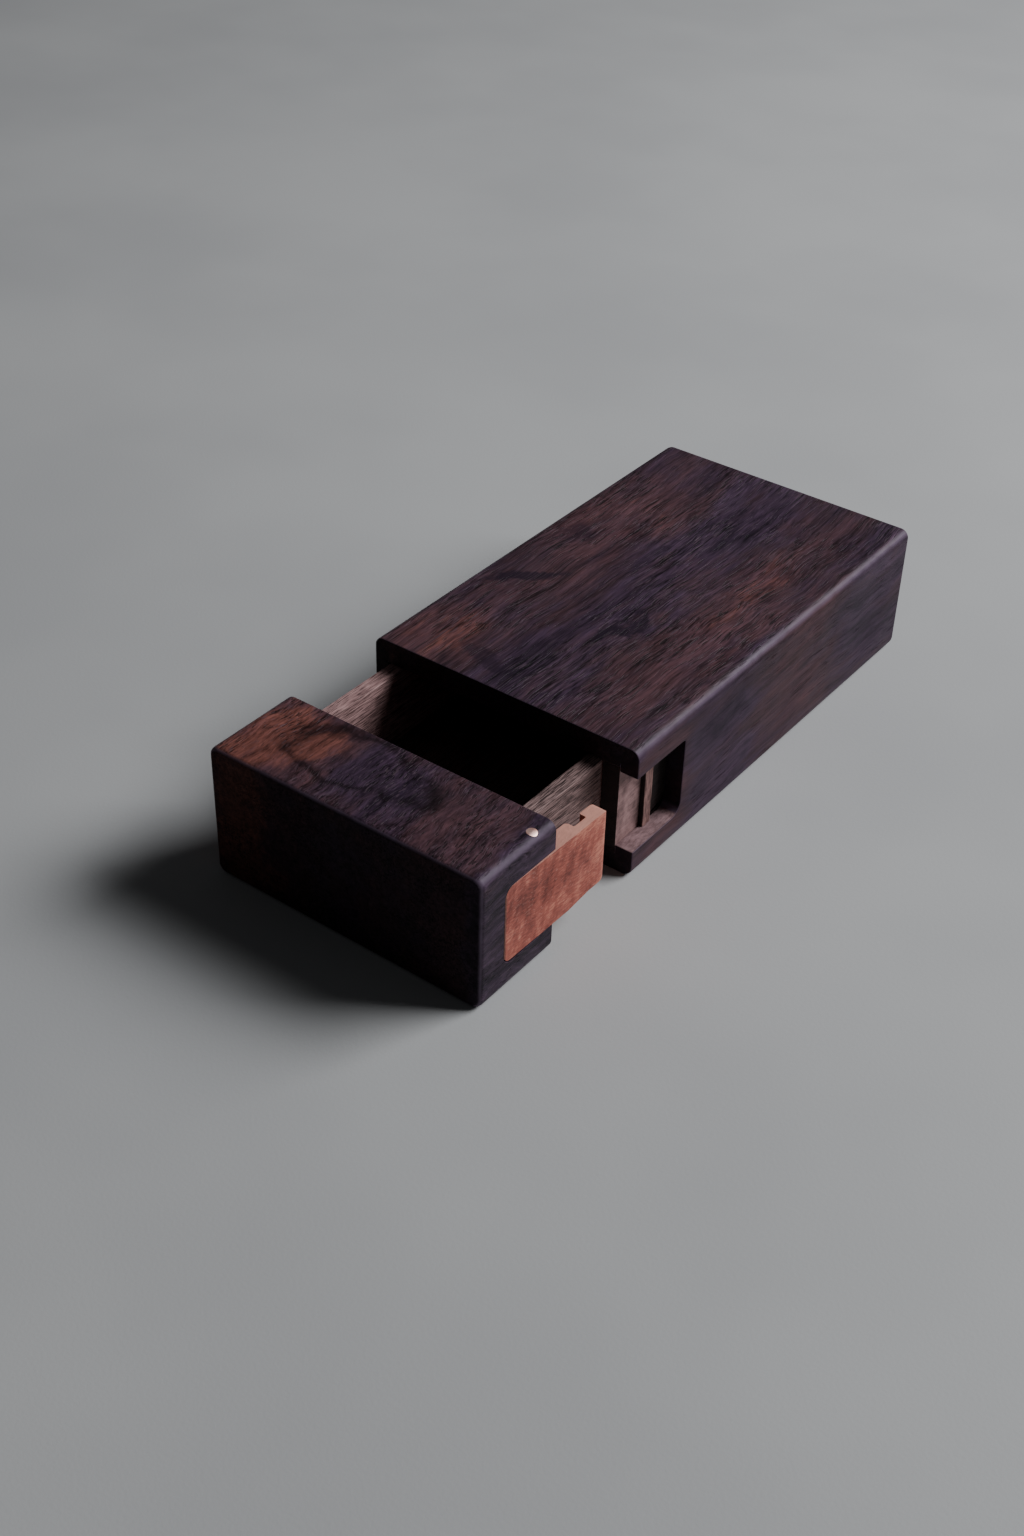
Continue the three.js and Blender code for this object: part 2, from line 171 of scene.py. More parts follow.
# Patterns of marks drawn out along the fibres
Marks = namedtuple("Marks", "across along detail roughness", defaults=(2, 0.5))
ROSEWOOD_FIGURE = Marks(across=7, along=34, detail=3, roughness=0.6)
ROSEWOOD_BANDS = Marks(across=3.2, along=60, roughness=0.6)
ROSEWOOD_STREAKS = Marks(across=0.95, along=22, detail=3, roughness=0.7)
ROSEWOOD_STRANDS = Marks(across=0.40, along=5.5, roughness=0.6)
ROSEWOOD_PORES = Marks(across=0.42, along=5.5, detail=1.5)
ROSEWOOD_PAINTED_GLINTS = Marks(across=0.38, along=5.0, detail=1.5)
ROSEWOOD_OPEN_AREAS = Marks(across=12, along=22)
LEDGE_FLECKS = Marks(across=0.6, along=2.0, detail=3, roughness=0.65)
WALNUT_FIGURE = Marks(across=3, along=60)
WALNUT_RIBS = Marks(across=0.26, along=7, roughness=0.6)
WALNUT_STRANDS = Marks(across=0.16, along=2.5, detail=1)
WALNUT_GROOVES = Marks(across=0.24, along=4.5, detail=1.5)
PEAR_STRANDS = Marks(across=0.35, along=1.8, roughness=0.6)
PEAR_FLECKS = Marks(across=0.4, along=1.1, detail=1)


def solid(colour):
    return (*colour, 1)


class Nodes:
    """Adds shader nodes to one material by short calls that take and return sockets."""

    def __init__(self, name):
        self.material = bpy.data.materials.new(name)
        self.material.use_nodes = True
        self.tree = self.material.node_tree
        self.tree.nodes.clear()

    def add(self, kind, inputs, output=0, **settings):
        node = self.tree.nodes.new(kind)
        for key, value in settings.items():
            setattr(node, key, value)
        for key, value in inputs.items():
            if isinstance(value, bpy.types.NodeSocket):
                self.tree.links.new(value, node.inputs[key])
            elif value is not None:
                node.inputs[key].default_value = value
        return node.outputs[output]

    def math(self, operation, a, b=None, c=None):
        return self.add("ShaderNodeMath", {0: a, 1: b, 2: c}, operation=operation)

    def times(self, a, b):
        return self.math("MULTIPLY", a, b)

    def plus(self, base, pattern, amount):
        """base, with a pattern of that amount added."""
        return self.math("MULTIPLY_ADD", pattern, amount, base)

    def sway(self, base, pattern, amount, where=None):
        """base, raised and lowered by a pattern about its middle, more or less as where says."""
        swing = self.math("SUBTRACT", pattern, 0.5)
        if where is not None:
            swing = self.times(swing, where)
        return self.plus(base, swing, amount)

    def vector(self, operation, a, b):
        return self.add("ShaderNodeVectorMath", {0: a, 1: b}, operation=operation)

    def scaled(self, vector, factor):
        return self.add("ShaderNodeVectorMath", {0: vector, "Scale": factor}, operation="SCALE")

    def length(self, vector):
        return self.add("ShaderNodeVectorMath", {0: vector}, output=1, operation="LENGTH")

    def turned(self, vector, angle, axis):
        inputs = {"Vector": vector, "Angle": angle}
        return self.add("ShaderNodeVectorRotate", inputs, rotation_type=axis + "_AXIS")

    def split(self, vector):
        node = self.tree.nodes.new("ShaderNodeSeparateXYZ")
        self.tree.links.new(vector, node.inputs[0])
        return node.outputs

    def join(self, x, y, z):
        return self.add("ShaderNodeCombineXYZ", {0: x, 1: y, 2: z})

    def span(self, value, low, high, to_low=0.0, to_high=1.0):
        """value from low to high becomes to_low to to_high, smoothly, and stays there outside."""
        inputs = {
            "Value": value, "From Min": low, "From Max": high, "To Min": to_low, "To Max": to_high,
        }
        return self.add("ShaderNodeMapRange", inputs, interpolation_type="SMOOTHSTEP")

    def noise(self, vector, scale=1.0, detail=2.0, roughness=0.5, output=0):
        inputs = {"Vector": vector, "Scale": scale, "Detail": detail, "Roughness": roughness}
        return self.add("ShaderNodeTexNoise", inputs, output=output)

    def drift(self, vector, **settings):
        """A vector of noise about zero."""
        return self.vector("SUBTRACT", self.noise(vector, output=1, **settings), (0.5, 0.5, 0.5))

    def mix(self, factor, low, high):
        """The colour from low to high at a factor from 0 to 1."""
        return self.add("ShaderNodeMix", {0: factor, 6: low, 7: high}, output=2, data_type="RGBA")

    def blend(self, factor, low, high):
        """The number from low to high at a factor from 0 to 1."""
        return self.plus(low, factor, self.math("SUBTRACT", high, low))

    def ramp(self, value, stops):
        """The colour at a value, between (value, colour) stops in rising order."""
        node = self.tree.nodes.new("ShaderNodeValToRGB")
        self.tree.links.new(value, node.inputs[0])
        elements = node.color_ramp.elements
        for element, (place, colour) in zip(elements, (stops[0], stops[-1])):
            element.position = place
            element.color = solid(colour)
        for place, colour in stops[1:-1]:
            elements.new(place).color = solid(colour)
        return node.outputs[0]

    def place(self):
        """The point on the piece at rest, in millimetres in the frame's axes."""
        coordinates = self.tree.nodes.new("ShaderNodeTexCoord")
        return self.scaled(coordinates.outputs["Object"], 1 / MM)

    def direction(self):
        """The surface's own normal, as X, Y and Z."""
        coordinates = self.tree.nodes.new("ShaderNodeTexCoord")
        return self.split(coordinates.outputs["Normal"])

    def facing(self):
        """How far the surface faces along X, Y and Z, from 0 to 1 each."""
        return [self.math("ABSOLUTE", part) for part in self.direction()]

    def edges(self):
        """0 on the flat faces, rising towards 1 on rounded and eased edges."""
        x, y, z = self.facing()
        largest = self.math("MAXIMUM", self.math("MAXIMUM", x, y), z)
        return self.span(largest, 0.98, 0.75)

    def ends(self):
        """1 on the faces across the fibres, which run along Y: the end grain."""
        return self.span(self.facing()[1], 0.6, 0.9)

    def bump(self, heights, smooth=None):
        """The normal of a relief: the sum of (pattern, height in millimetres) pairs.
        It nearly fades out where smooth is 1."""
        relief = 0.0
        for pattern, height in heights:
            relief = self.plus(relief, pattern, height)
        strength = self.plus(1.0, smooth, -0.85) if smooth is not None else 1.0
        return self.add("ShaderNodeBump", {"Height": relief, "Distance": MM, "Strength": strength})

    def finish(self, **inputs):
        """The shader itself; names use _ for a space."""
        shader = self.tree.nodes.new("ShaderNodeBsdfPrincipled")
        for key, value in inputs.items():
            socket = shader.inputs[key.replace("_", " ")]
            if isinstance(value, bpy.types.NodeSocket):
                self.tree.links.new(value, socket)
            else:
                socket.default_value = value
        output = self.tree.nodes.new("ShaderNodeOutputMaterial")
        self.tree.links.new(shader.outputs[0], output.inputs[0])
        return self.material


def wander(nodes, place, reach, period, seed):
    """The place with its fibres bent sideways: by up to reach, over a length of period along Y."""
    slow = nodes.vector("MULTIPLY", place, (0.35 / period, 1 / period, 0.35 / period))
    drift = nodes.drift(nodes.vector("ADD", slow, (seed, seed, seed)), detail=2)
    return nodes.vector("ADD", place, nodes.vector("MULTIPLY", drift, (2 * reach, 0, 2 * reach)))


def marks(nodes, fibres, kind, seed, length=1.0):
    """A pattern of marks along the fibres, which are length times as long as their kind says."""
    rates = (1 / kind.across, 1 / (kind.along * length), 1 / kind.across)
    shifted = nodes.vector("ADD", nodes.vector("MULTIPLY", fibres, rates), (seed, seed * 2, seed * 3))
    return nodes.noise(shifted, detail=kind.detail, roughness=kind.roughness)


def ellipse_distance(nodes, place, centre, size, turn):
    """0 at the centre of an ellipse on the top face and 1 on its outline, by (x, y) and degrees."""
    offset = nodes.vector("SUBTRACT", place, (*centre, 0))
    turned = nodes.turned(offset, math.radians(-turn), "Z")
    return nodes.length(nodes.vector("MULTIPLY", turned, (1 / size[0], 1 / size[1], 0)))


def patch(nodes, place, centre, size, turn=0.0):
    """1 in the middle of a soft ellipse on the top face, 0 outside it."""
    return nodes.span(ellipse_distance(nodes, place, centre, size, turn), 1.4, 0.5)


def ring(nodes, place, centre, size, width, turn=0.0):
    """1 on the outline of an ellipse on the top face, falling off over its width."""
    from_line = nodes.math("SUBTRACT", ellipse_distance(nodes, place, centre, size, turn), 1)
    return nodes.span(nodes.math("ABSOLUTE", from_line), width / min(size), 0)


def rosewood(name, seed, light=1.0, curl=0.5, length=1.0, bias=0.0, pits=1.0, shine=0.25,
             warm=(), purple=(), smudges=(), rings=(), panel=False, raw_ledge=False):
    """Oiled dark wood: brown and purple figure, smoky veins, and fine pores along Y.

    curl is how far its fibres wave, length how long its marks are, bias its turn towards orange,
    and pits how strong its fine marks are. warm and purple are (centre, size, amount) of patches
    of colour, smudges are (centre, size, turn, strength) of dark veins, and rings are (centre,
    size, width, turn, strength) of looped ones. A panel's fibres run along X and it has no end
    grain. With raw_ledge, the bottom of the latch recess is bare.
    """
    nodes = Nodes(name)
    place = nodes.place()
    if panel:
        x, y, z = nodes.split(place)
        place = nodes.join(z, x, y)
    fibres = wander(nodes, place, reach=2.6, period=40, seed=seed)
    fibres = wander(nodes, fibres, reach=curl, period=9, seed=seed + 1)
    swirl = nodes.drift(place, scale=0.12, detail=4, roughness=0.6)
    swirled = nodes.vector("ADD", place, nodes.scaled(swirl, 12.0))
    ends = 0.0 if panel else nodes.ends()
    edge = nodes.edges()
    calm = nodes.span(edge, 0, 1, 1, 0.3)

    colour = rosewood_figure(nodes, fibres, swirled, seed, bias, warm, purple)
    streaks = marks(nodes, fibres, ROSEWOOD_STREAKS, seed + 3, length)
    strands = marks(nodes, fibres, ROSEWOOD_STRANDS, seed + 5, length)
    open_areas = nodes.span(marks(nodes, place, ROSEWOOD_OPEN_AREAS, seed + 9), 0.40, 0.62, 0.35, 1)
    shade = nodes.sway(1.0, marks(nodes, fibres, ROSEWOOD_BANDS, seed + 2, length), BAND_DEPTH)
    shade = nodes.sway(shade, streaks, STREAK_DEPTH + STREAK_DEPTH_OF_PITS * pits)
    shade = nodes.sway(shade, strands, STRAND_DEPTH * pits, where=open_areas)
    shade = nodes.math("MAXIMUM", nodes.blend(calm, 1, shade), DARKEST_SHADE)
    # End grain is darker than the long faces, and at the front darker still as painted shade
    end_grain_and_painted_shade = nodes.span(nodes.direction()[1], -0.5, 0.5, FRONT_END_GRAIN_AND_PAINTED_SHADE, REAR_END_LIGHT)
    shade = nodes.times(nodes.times(shade, light), nodes.blend(ends, 1, end_grain_and_painted_shade))
    colour = nodes.scaled(colour, shade)
    colour = with_veins(nodes, colour, place, swirled, smudges, rings)

    open_areas = nodes.times(open_areas, calm)
    pores = nodes.span(marks(nodes, fibres, ROSEWOOD_PORES, seed + 7, length), 0.58, 0.66)
    pores = nodes.times(pores, open_areas)
    colour = nodes.mix(nodes.times(pores, PORE_STRENGTH * pits), colour, solid(PORE_BLACK))
    # Pale rims beside the pores are painted glints, a painted highlight in the pore grooves
    painted_glints = nodes.span(marks(nodes, fibres, ROSEWOOD_PAINTED_GLINTS, seed + 11, length), 0.60, 0.68)
    painted_glint_strength = nodes.span(ends, 0, 1, PAINTED_GLINT_STRENGTH * light * pits, 0)
    colour = nodes.mix(nodes.times(nodes.times(painted_glints, open_areas), painted_glint_strength), colour, solid(PAINTED_PORE_GLINT))

    # The eased edges turn lighter and lavender: partly rubbed wear, partly a painted highlight
    patina_and_painted_highlight = nodes.times(edge, nodes.span(nodes.noise(place, scale=0.3, detail=3), 0.2, 0.7, 0.5, 1))
    colour = nodes.mix(nodes.times(patina_and_painted_highlight, PATINA_AND_HIGHLIGHT_STRENGTH), colour, solid(RUBBED_AND_PAINTED_HIGHLIGHT))
    roughness = nodes.span(nodes.noise(place, scale=0.09, detail=3), 0.3, 0.7, *ROSEWOOD_ROUGHNESS)
    for pattern, amount in ((pores, 0.25), (edge, 0.08), (ends, 0.35)):
        roughness = nodes.plus(roughness, pattern, amount)
    if raw_ledge:
        colour, roughness = bare_ledge(nodes, place, colour, roughness)
    relief = [(pores, -0.06 * pits), (strands, 0.06 * pits), (streaks, 0.04)]
    normal = nodes.bump(relief, smooth=edge)
    return nodes.finish(Base_Color=colour, Roughness=roughness, Normal=normal, Specular_IOR_Level=shine)


def rosewood_figure(nodes, fibres, swirled, seed, bias, warm, purple):
    """The broad clouds of colour, with their patches."""
    mottle = nodes.noise(nodes.vector("MULTIPLY", fibres, (0.45, 0.11, 0.45)), detail=4, roughness=0.65)
    hue = nodes.plus(bias - 0.15, marks(nodes, fibres, ROSEWOOD_FIGURE, seed), 0.8)
    hue = nodes.plus(hue, mottle, 0.5)
    for centre, size, amount in warm:
        hue = nodes.plus(hue, patch(nodes, swirled, centre, size), amount)
    for centre, size, amount in purple:
        hue = nodes.plus(hue, patch(nodes, swirled, centre, size), -amount)
    return nodes.ramp(hue, ROSEWOOD_STOPS)


def with_veins(nodes, colour, place, swirled, smudges, rings):
    """The colour with dark veins; the looped ones are broken up like smoke."""
    smoke = nodes.span(nodes.noise(place, scale=0.2, detail=3), 0.25, 0.5, 0.3, 1)
    for centre, size, turn, strength in smudges:
        spot = nodes.times(patch(nodes, swirled, centre, size, turn), strength)
        colour = nodes.mix(spot, colour, solid(PURPLE_BLACK))
    for centre, size, width, turn, strength in rings:
        line = nodes.times(ring(nodes, swirled, centre, size, width, turn), strength)
        colour = nodes.mix(nodes.times(line, smoke), colour, solid(PORE_BLACK))
    return colour


def bare_ledge(nodes, place, colour, roughness):
    """Bare pinkish wood on the bottom of the latch recess, which the oil never reached."""
    x, y, z = nodes.split(place)
    bare = nodes.times(
        nodes.span(y, RECESS_END_Y, RECESS_END_Y - LEDGE_REAR_FADE),
        nodes.span(x, HALF_WIDTH, HALF_WIDTH - LEDGE_SIDE_FADE),
    )
    for nothing, full in (LEDGE_FROM_Z, LEDGE_TO_Z):
        bare = nodes.times(bare, nodes.span(z, nothing, full))
    bare = nodes.times(bare, nodes.span(nodes.facing()[2], 0.3, 0.8))
    raw = nodes.ramp(marks(nodes, place, LEDGE_FLECKS, seed=2.0), RAW_LEDGE_STOPS)
    return nodes.mix(bare, colour, raw), nodes.plus(roughness, bare, 0.25)


def walnut(name, seed, light=1.0, lines=1.0, blotches=0.3, tint=(1, 1, 1), upright=False, painted_shade_from_y=None):
    """Bare grey-brown walnut with fine straight lines along Y, or along Z where it is upright.
    From that Y on, it is painted as dark as its end grain: painted shade behind the catch post."""
    nodes = Nodes(name)
    place = nodes.place()
    x, y, z = nodes.split(place)
    along = nodes.join(x, z, y) if upright else place
    fibres = wander(nodes, along, reach=0.7, period=30, seed=seed)
    ribs = marks(nodes, fibres, WALNUT_RIBS, seed + 4)
    strands = marks(nodes, fibres, WALNUT_STRANDS, seed + 6)
    grooves = nodes.span(marks(nodes, fibres, WALNUT_GROOVES, seed + 8), 0.54, 0.62)
    tone = nodes.sway(0.55, ribs, 1.1 * lines)
    tone = nodes.sway(tone, marks(nodes, fibres, WALNUT_FIGURE, seed), 0.5 * lines)
    tone = nodes.sway(tone, strands, 0.8 * lines)
    tone = nodes.sway(tone, nodes.noise(place, scale=0.35, detail=4, roughness=0.6), blotches)
    tone = nodes.plus(tone, grooves, -0.22 * lines)

    def lit(colour):
        return tuple(light * part * shade for part, shade in zip(colour, tint))

    colour = nodes.ramp(tone, [(value, lit(shade)) for value, shade in WALNUT_STOPS])
    worn = nodes.span(nodes.noise(place, scale=0.6, detail=3), 0.4, 0.7)
    worn = nodes.times(nodes.times(nodes.edges(), worn), 0.4)
    colour = nodes.mix(worn, colour, solid(lit(WALNUT_WORN)))
    # The end grain is painted nearly black: darker end grain and painted shade together
    dark = nodes.ends()
    # Behind the catch post the liner is painted dark: painted shade cast by the recess's rear wall
    if painted_shade_from_y is not None:
        dark = nodes.math("MAXIMUM", dark, nodes.span(y, painted_shade_from_y - 0.1, painted_shade_from_y + 0.1))
    colour = nodes.scaled(colour, nodes.span(dark, 0, 1, 1, WALNUT_END_GRAIN_AND_PAINTED_SHADE))
    roughness = nodes.span(ribs, 0.3, 0.7, 0.78, 0.6)
    normal = nodes.bump([(ribs, 0.12 * lines), (grooves, -0.08 * lines), (strands, 0.03)])
    return nodes.finish(Base_Color=colour, Roughness=roughness, Normal=normal, Specular_IOR_Level=0.3)


def pear_wood(name, seed):
    """Sanded orange-red wood: ripples that stand across the lever, fine flecks, a dark cloud near
    the nose, and a paler tail; its top faces and eased edges are painted paler, as painted light."""
    nodes = Nodes(name)
    place = nodes.place()
    x, y, z = nodes.split(place)
    leaning = nodes.join(x, nodes.plus(y, z, -0.25), z)
    leaning = wander(nodes, leaning, reach=3.0, period=9, seed=seed)
    ripples = nodes.noise(nodes.vector("MULTIPLY", leaning, (0.25, 0.48, 0.19)), detail=3, roughness=0.55)
    mottle = nodes.noise(nodes.vector("MULTIPLY", place, (0.10, 0.10, 0.13)), detail=2.5, roughness=0.5)
    bent = wander(nodes, place, reach=1.2, period=8, seed=seed + 4)
    strands = marks(nodes, bent, PEAR_STRANDS, seed + 3)
    tone = nodes.sway(0.53, ripples, 1.15)
    tone = nodes.sway(tone, mottle, 0.6)
    tone = nodes.sway(tone, strands, 0.95)

    tail = nodes.span(nodes.plus(y, z, 0.8), LEVER_REAR_Y - 2, LEVER_REAR_Y + LEVER_TOP_Z * 0.8)
    tone = nodes.plus(tone, tail, 0.28)
    offset = nodes.vector("SUBTRACT", nodes.vector("MULTIPLY", leaning, (0, 1, 1)), (0, *LEVER_CLOUD_CENTRE))
    turned = nodes.turned(offset, -LEVER_CLOUD_TURN, "X")
    rates = (0, 1 / LEVER_CLOUD_SIZE[0], 1 / LEVER_CLOUD_SIZE[1])
    cloud = nodes.span(nodes.length(nodes.vector("MULTIPLY", turned, rates)), 1.5, 0.3)
    tone = nodes.plus(tone, cloud, -0.24)

    colour = nodes.ramp(tone, PEAR_STOPS)
    # Top faces and eased edges painted paler: painted light and painted highlight where the window falls on
    # them
    pale = nodes.math("MAXIMUM", nodes.edges(), nodes.span(nodes.facing()[2], 0.25, 0.85))
    colour = nodes.mix(nodes.times(pale, 0.7), colour, solid(PEAR_PAINTED_LIGHT))
    flecks = nodes.span(marks(nodes, leaning, PEAR_FLECKS, seed + 9), 0.60, 0.72)
    colour = nodes.mix(nodes.times(flecks, 0.22), colour, solid(PEAR_FLECK))
    roughness = nodes.span(mottle, 0.3, 0.7, 0.46, 0.6)
    normal = nodes.bump([(strands, 0.05), (flecks, 0.015)])
    return nodes.finish(Base_Color=colour, Roughness=roughness, Normal=normal, Specular_IOR_Level=0.35)


def brass(name):
    """Polished brass with fine scratches from dressing the pin level with the wood."""
    nodes = Nodes(name)
    place = nodes.place()
    scratches = nodes.noise(nodes.vector("MULTIPLY", place, (9, 0.8, 9)), detail=3, roughness=0.7)
    tarnish = nodes.span(nodes.noise(place, scale=0.9, detail=4), 0.45, 0.75)
    colour = nodes.mix(tarnish, solid(BRASS_BRIGHT), solid(BRASS_TARNISHED))
    roughness = nodes.span(scratches, 0.3, 0.7, 0.45, 0.62)
    normal = nodes.bump([(scratches, 0.012)])
    return nodes.finish(Base_Color=colour, Roughness=roughness, Normal=normal, Metallic=1.0)


def steel(name):
    """Drawn spring wire."""
    nodes = Nodes(name)
    drawn = nodes.noise(nodes.place(), scale=6, detail=3, roughness=0.7)
    colour = nodes.mix(nodes.span(drawn, 0.35, 0.7), solid(STEEL_BRIGHT), solid(STEEL_DULL))
    roughness = nodes.span(drawn, 0.3, 0.7, 0.25, 0.4)
    normal = nodes.bump([(drawn, 0.004)])
    return nodes.finish(Base_Color=colour, Roughness=roughness, Normal=normal, Metallic=1.0)


def finer(node, ease, mitred):
    """A finer copy of a CAD piece: its flat faces made whole and its sharp edges eased."""
    form = bmesh.new()
    form.from_mesh(frame["nodes"][node].data)
    bmesh.ops.remove_doubles(form, verts=form.verts, dist=WELD)
    bmesh.ops.dissolve_limit(form, angle_limit=FLAT_ANGLE, verts=form.verts, edges=form.edges)
    if mitred:
        close_mitres(form)
    sharp = [
        edge for edge in form.edges
        if len(edge.link_faces) == 2
        and edge.calc_face_angle() > SHARP_ANGLE
        and not (mitred and all(at_mitre(vertex) for vertex in edge.verts))
    ]
    if sharp and ease:
        bmesh.ops.bevel(
            form, geom=sharp, offset=ease * MM, segments=EDGE_STEPS, profile=0.5,
            affect="EDGES", clamp_overlap=True, miter_outer="ARC",
        )
    form.normal_update()
    normals = [corner_normal(corner) for face in form.faces for corner in face.loops]
    for face in form.faces:
        face.smooth = True
    mesh = bpy.data.meshes.new(node + "_finer")
    form.to_mesh(mesh)
    form.free()
    mesh.normals_split_custom_set(normals)
    piece = bpy.data.objects.new(node + "_finer", mesh)
    bpy.context.scene.collection.objects.link(piece)
    return piece


def corner_normal(corner):
    """The smooth normal at a face's corner: straight out of a rounded long edge, so that a seam
    in it doesn't show; else the average of the faces that meet there without a sharp edge."""
    point, facing = corner.vert.co / MM, corner.face.normal
    side = math.copysign(1, point.x)
    level = math.copysign(1, point.z - HEIGHT / 2)
    axis_x = side * (HALF_WIDTH - LONG_EDGE_RADIUS)
    axis_z = HEIGHT / 2 + level * (HEIGHT / 2 - LONG_EDGE_RADIUS)
    spoke = Vector((point.x - axis_x, 0, point.z - axis_z))
    outwards = spoke.x * side > -ON_SURFACE and spoke.z * level > -ON_SURFACE
    on_arc = outwards and abs(spoke.length - LONG_EDGE_RADIUS) < ON_SURFACE
    if on_arc and spoke.normalized().dot(facing) > math.cos(SMOOTH_ANGLE):
        return spoke.normalized()
    near = [face for face in corner.vert.link_faces if face.normal.dot(facing) > math.cos(SHARP_ANGLE)]
    return sum((face.normal * face.calc_area() for face in near), Vector()).normalized()


def at_mitre(vertex):
    """True in the planes where the sleeve's boards meet, at 45 degrees from each long edge."""
    from_side = HALF_WIDTH - abs(vertex.co.x) / MM
    z = vertex.co.z / MM
    return min(abs(from_side - z), abs(from_side - (HEIGHT - z))) < MITRE_REACH


def close_mitres(form):
    """Each mitred face moves half the glue line outwards, so that no gap shows in the rounding."""
    for face in form.faces:
        diagonal = abs(abs(face.normal.x) - abs(face.normal.z)) < MITRE_SLOPE_SLACK
        if diagonal and all(at_mitre(vertex) for vertex in face.verts):
            for vertex in face.verts:
                vertex.co += face.normal * HALF_GLUE_LINE * MM


bodies = frame["record"]["behaviour"]["bodies"]
body_of = {node: body for body, nodes in bodies.items() for node in nodes}


def show(node, material, ease, mitred=False):
    """Shows a CAD piece by its finer copy, with its sharp edges eased by that many millimetres."""
    piece = finer(node, ease, mitred)
    piece.data.materials.append(material)
    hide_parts(node)
    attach(piece, body_of[node])
    return piece


top_wood = rosewood(
    "rosewood_top", seed=3.0, pits=1.15,
    warm=[
        ((-21, MOUTH_Y + 7), (8, 13), 0.26), ((-20, MIDDLE_Y + 8), (9, 30), 0.12),
        ((-11, MIDDLE_Y + 24), (5, 12), 0.16), ((19, MIDDLE_Y - 8), (8, 42), 0.16),
    ],
    purple=[
        ((0, MIDDLE_Y - 22), (9, 34), 0.16), ((-1, MIDDLE_Y + 34), (12, 24), 0.18),
        ((27, MIDDLE_Y + 28), (4, 30), 0.10),
    ],
    smudges=[
        ((-21, MOUTH_Y + 34), (1.7, 8), -45, 0.85), ((-8, MOUTH_Y + 7), (8, 1.8), -15, 0.6),
        ((5, MOUTH_Y + 32), (1.8, 7), -14, 0.85), ((-23, MOUTH_Y + 55), (2.6, 4), -20, 0.6),
    ],
)
side_wood = rosewood("rosewood_side", seed=8.0, light=0.75)
back_wood = rosewood("rosewood_back", seed=13.0, light=0.75, panel=True)
right_wood = rosewood(
    "rosewood_right", seed=21.0, light=0.94, pits=0.42, bias=-0.06, shine=0.12, raw_ledge=True,
    warm=[((30, MOUTH_Y + 56), (12, 17), 0.16), ((30, MOUTH_Y + 8), (12, 9), 0.06)],
    purple=[((30, MOUTH_Y + 30), (12, 14), 0.12), ((30, MOUTH_Y + 88), (12, 15), 0.10)],
)
block_wood = rosewood(
    "rosewood_block", seed=5.0, curl=1.2, length=0.40, pits=1.05, shine=0.18,
    warm=[
        ((-24, BLOCK_FRONT_Y + 8), (12, 13), 0.47), ((-13, BLOCK_FRONT_Y + 13), (5, 5), 0.2),
        ((20, BLOCK_FRONT_Y + 8), (8, 14), 0.08),
    ],
    purple=[
        ((0, BLOCK_FRONT_Y + 11), (9, 9), 0.22), ((30, BLOCK_FRONT_Y + 11), (3.0, 20), 0.26),
    ],
    rings=[((-5, BLOCK_FRONT_Y + 12.5), (15.5, 6.5), 2.0, 0, 0.75)],
)
side_walnut = walnut("walnut_side", seed=4.0, light=1.1)
far_walnut = walnut("walnut_far_side", seed=6.0, light=1.5, lines=0.85, tint=(1.04, 0.96, 0.98))
# A darker walnut for the drawer's back and bottom: painted shade inside the drawer
inner_walnut_painted_shade = walnut("walnut_inner_painted_shade", seed=9.0, light=0.4, lines=0.7)
# The liner is painted dark behind the catch post: painted shade
liner_walnut = walnut(
    "walnut_liner", seed=15.0, light=1.15, lines=0.15, blotches=0.9, tint=(1.05, 0.97, 1.0),
    painted_shade_from_y=POST_REAR_Y,
)
post_walnut = walnut(
    "walnut_post", seed=17.0, light=0.95, lines=0.6, blotches=0.8, tint=(1.05, 0.9, 0.86), upright=True,
)
red_pear = pear_wood("pear_red", seed=6.0)
pin_brass = brass("brass_pin")
spring_steel = steel("steel_spring")

show("sleeve_top", top_wood, 0.15, mitred=True)
show("sleeve_bottom", side_wood, 0.15, mitred=True)
show("sleeve_left_wall", side_wood, 0.15, mitred=True)
show("sleeve_right_wall", right_wood, 0.2, mitred=True)
show("sleeve_right_liner", liner_walnut, 0.1)
show("sleeve_back", back_wood, 0.2)
show("catch_post", post_walnut, 0.12)
show("drawer_stop_pin", pin_brass, 0)
show("front_block", block_wood, 0.2)
show("drawer_left_side", far_walnut, 0.2)
show("drawer_right_side", side_walnut, 0.2)
show("drawer_back", inner_walnut_painted_shade, 0.2)
show("drawer_bottom", inner_walnut_painted_shade, 0.15)
show("latch_pin", pin_brass, 0.06)
spring = show("latch_spring", spring_steel, 0)
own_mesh(spring)
show("latch_lever", red_pear, 0.25)


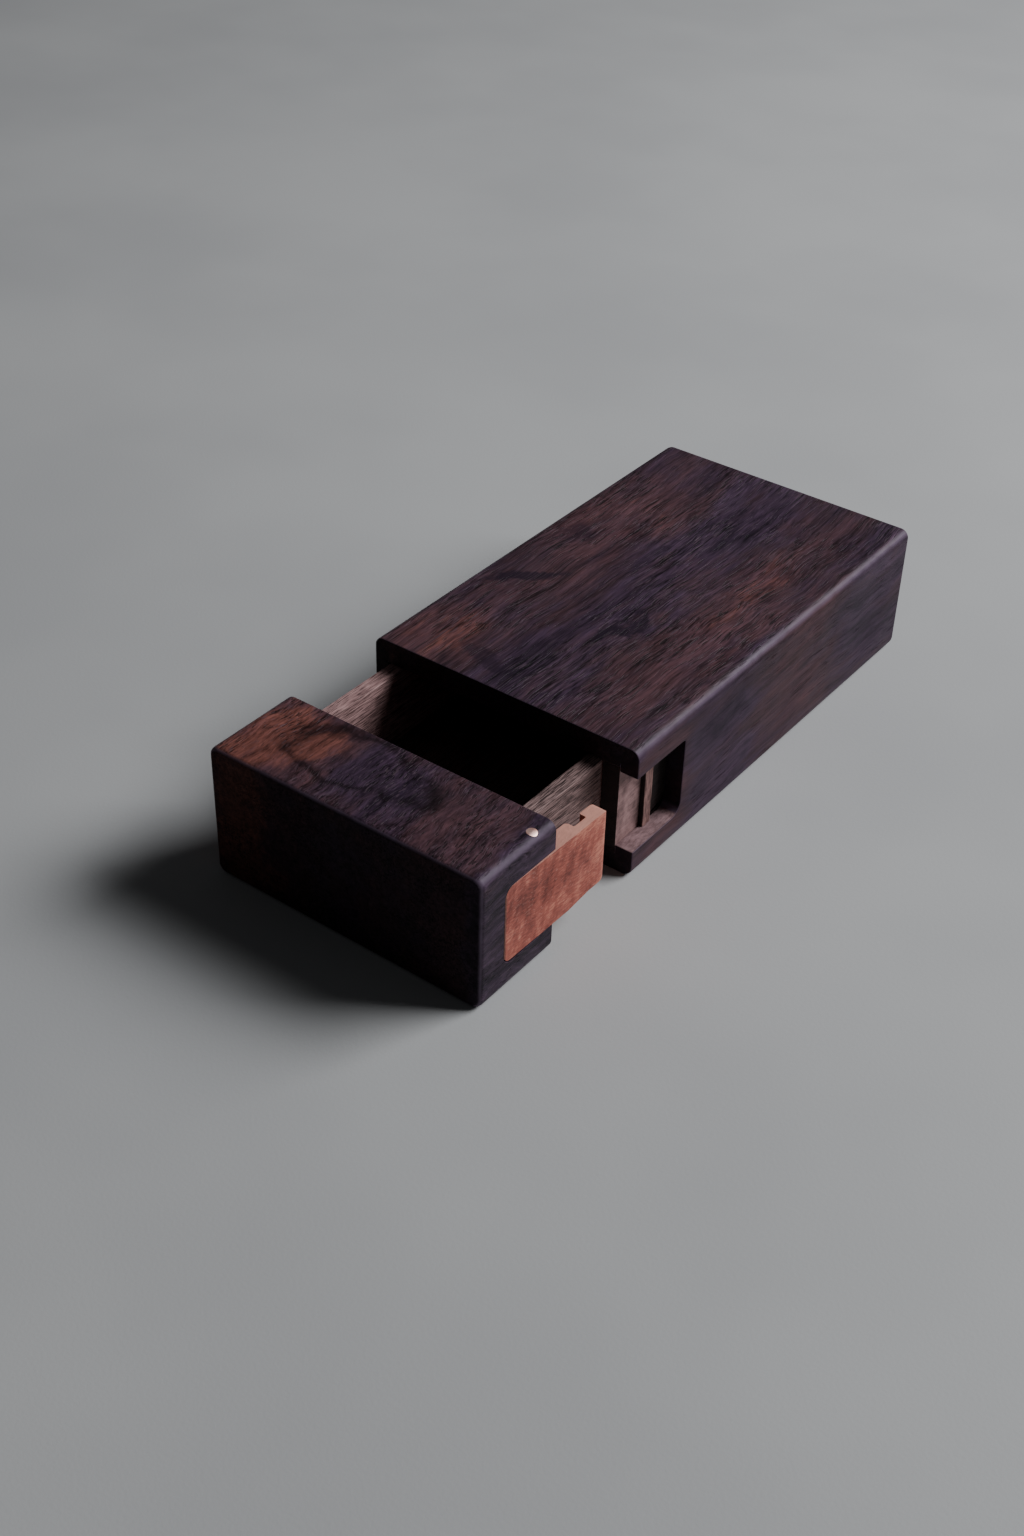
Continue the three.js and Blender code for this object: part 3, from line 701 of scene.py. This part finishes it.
def camera():
    back = Vector((
        math.sin(CAMERA_AZIMUTH) * math.cos(CAMERA_ELEVATION),
        -math.cos(CAMERA_AZIMUTH) * math.cos(CAMERA_ELEVATION),
        math.sin(CAMERA_ELEVATION),
    ))
    right = Vector((0, 0, 1)).cross(back).normalized()
    up = back.cross(right)
    turn = Matrix((right, up, back)).transposed() @ Matrix.Rotation(CAMERA_ROLL, 3, "Z")
    data = bpy.data.cameras.new("camera")
    data.lens = LENS_MM
    data.sensor_width = FILM_MM
    data.clip_start = 0.01
    item = bpy.data.objects.new("camera", data)
    item.matrix_world = Matrix.Translation(CAMERA_PLACE) @ turn.to_4x4()
    bpy.context.scene.collection.objects.link(item)
    bpy.context.scene.camera = item


def window():
    """One large soft light, behind the box on the right."""
    data = bpy.data.lights.new("window", "AREA")
    data.shape = "RECTANGLE"
    data.size, data.size_y = WINDOW_SIZE
    data.energy = WINDOW_WATTS
    data.color = WINDOW_COLOUR
    item = bpy.data.objects.new("window", data)
    item.location = WINDOW_PLACE
    aim = Vector(WINDOW_TARGET) - Vector(WINDOW_PLACE)
    item.rotation_euler = aim.to_track_quat("-Z", "Y").to_euler()
    bpy.context.scene.collection.objects.link(item)


def sky():
    """A dim, even light from everywhere."""
    world = bpy.data.worlds.new("studio")
    world.use_nodes = True
    background = world.node_tree.nodes["Background"]
    background.inputs["Color"].default_value = solid(SKY_COLOUR)
    background.inputs["Strength"].default_value = SKY_STRENGTH
    bpy.context.scene.world = world


def floor():
    """A plain pale sheet of paper, just below the box."""
    nodes = Nodes("floor_paper")
    place = nodes.place()
    tooth = nodes.noise(place, scale=1.5, detail=3)
    cloud = nodes.span(nodes.noise(place, scale=0.01, detail=3), 0.3, 0.7)
    colour = nodes.mix(cloud, *(solid(grey) for grey in FLOOR_GREYS))
    normal = nodes.bump([(tooth, 0.02)])
    material = nodes.finish(Base_Color=colour, Roughness=0.9, Normal=normal, Specular_IOR_Level=0.2)
    mesh = bpy.data.meshes.new("floor")
    form = bmesh.new()
    bmesh.ops.create_circle(form, cap_ends=True, radius=FLOOR_RADIUS, segments=96)
    form.to_mesh(mesh)
    form.free()
    mesh.materials.append(material)
    item = bpy.data.objects.new("floor", mesh)
    item.location.z = -FLOOR_DROP
    bpy.context.scene.collection.objects.link(item)


camera()
floor()
window()
sky()
